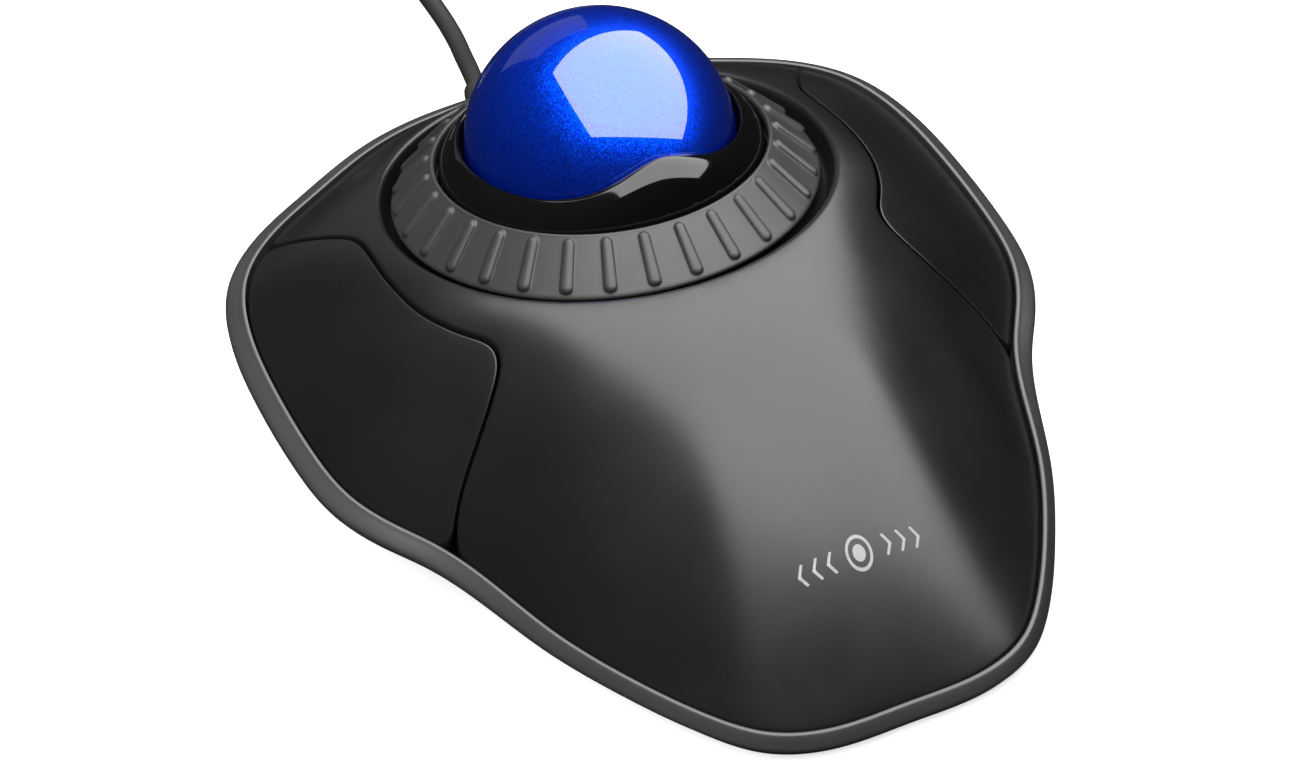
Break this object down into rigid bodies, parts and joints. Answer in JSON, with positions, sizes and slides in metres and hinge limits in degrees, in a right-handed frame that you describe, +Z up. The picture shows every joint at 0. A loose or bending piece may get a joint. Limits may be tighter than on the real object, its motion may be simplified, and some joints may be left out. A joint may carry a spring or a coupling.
{
  "type": "finger trackball",
  "caption": "Two-button finger trackball on a wedge-shaped desk body, with a ball in a glossy socket, a ribbed scroll ring around it and a coiled USB cable.",
  "frame": {"origin": "on the desk, at the centre of the body's footprint box, without the cable", "axes": "+X to the user's right, +Y away from the user towards the cable exit, +Z up; the palm rests at the -Y end"},
  "size_m": [0.1172, 0.2467, 0.058],
  "materials": {
    "rim_grey": "satin pewter-grey moulded plastic with a fine grain",
    "deck_black": "satin black moulded plastic with a fine grain",
    "gloss_black": "mirror-gloss black plastic",
    "ring_rubber": "satin mid-grey rubber-coated plastic",
    "inner_plastic": "dark unpainted moulded plastic",
    "ball_blue": "polished blue resin with a fine metallic sparkle",
    "ceramic": "polished white ceramic bearing ball",
    "board_green": "green solder mask",
    "chip_black": "black moulded epoxy",
    "clear_plastic": "clear polished optical plastic",
    "led_red": "red tinted clear epoxy",
    "steel": "bright plated steel",
    "switch_red": "red moulded plastic",
    "connector_white": "off-white moulded plastic",
    "foot_rubber": "matt black rubber",
    "cord_black": "satin black soft PVC",
    "tie_black": "black woven hook-and-loop strap"
  },
  "bodies": {
    "case": {"bottom_case": "rim_grey", "top_shell": "deck_black", "left_hinge_pin": "steel", "right_hinge_pin": "steel", "left_switch_body": "chip_black", "right_switch_body": "chip_black", "bezel": "gloss_black", "ball_cup": "inner_plastic", "support_bearing_1": "ceramic", "support_bearing_2": "ceramic", "support_bearing_3": "ceramic", "circuit_board": "board_green", "sensor_chip": "chip_black", "sensor_lens": "clear_plastic", "sensor_led": "led_red", "microcontroller": "chip_black", "crystal": "steel", "cable_header": "connector_white", "capacitor": "steel", "encoder_emitter": "chip_black", "encoder_detector": "chip_black", "encoder_board": "board_green", "encoder_riser": "connector_white", "case_screw_1": "steel", "case_screw_2": "steel", "case_screw_3": "steel", "case_screw_4": "steel", "cup_screw_1": "steel", "cup_screw_2": "steel", "cup_screw_3": "steel", "board_screw_1": "steel", "board_screw_2": "steel", "board_screw_3": "steel", "board_screw_4": "steel", "foot_pad_1": "foot_rubber", "foot_pad_2": "foot_rubber", "foot_pad_3": "foot_rubber", "foot_pad_4": "foot_rubber", "foot_pad_5": "foot_rubber", "cable_strain_relief": "cord_black", "usb_cable_lead": "cord_black", "usb_cable_coil": "cord_black", "cable_tie": "tie_black", "usb_cable_tail": "cord_black", "usb_plug_body": "cord_black", "usb_plug_shell": "steel", "usb_plug_tongue": "connector_white"},
    "scroll_wheel": {"scroll_ring": "ring_rubber", "ring_carrier": "inner_plastic"},
    "left_key": {"left_button": "deck_black"},
    "right_key": {"right_button": "deck_black"},
    "left_plunger": {"left_switch_plunger": "switch_red"},
    "right_plunger": {"right_switch_plunger": "switch_red"},
    "ball": {"ball": "ball_blue"}
  },
  "joints": [
    {"name": "scroll_spin", "type": "hinge", "parent": "case", "child": "scroll_wheel", "pos_m": [0, 0.0294, 0.038], "axis": [0, 0.1977, 0.9803], "continuous": true},
    {"name": "ball_roll", "type": "hinge", "parent": "case", "child": "ball", "pos_m": [0, 0.0294, 0.038], "axis": [1, 0, 0], "continuous": true},
    {"name": "left_press", "type": "hinge", "parent": "case", "child": "left_key", "pos_m": [-0.0395, -0.004, 0.0134], "axis": [-1, 0, 0], "range_deg": [0, 0.9], "stiffness_Nm_per_rad": 1},
    {"name": "left_click", "type": "slide", "parent": "case", "child": "left_plunger", "axis": [0, 0, -1], "range_m": [0, 0.00045]},
    {"name": "right_press", "type": "hinge", "parent": "case", "child": "right_key", "pos_m": [0.0395, -0.004, 0.0134], "axis": [-1, 0, 0], "range_deg": [0, 0.9], "stiffness_Nm_per_rad": 1},
    {"name": "right_click", "type": "slide", "parent": "case", "child": "right_plunger", "axis": [0, 0, -1], "range_m": [0, 0.00045]}
  ],
  "couplings": [
    {"joint": "left_click", "follows": "left_press", "m_per_rad": 0.028},
    {"joint": "right_click", "follows": "right_press", "m_per_rad": 0.028}
  ]
}
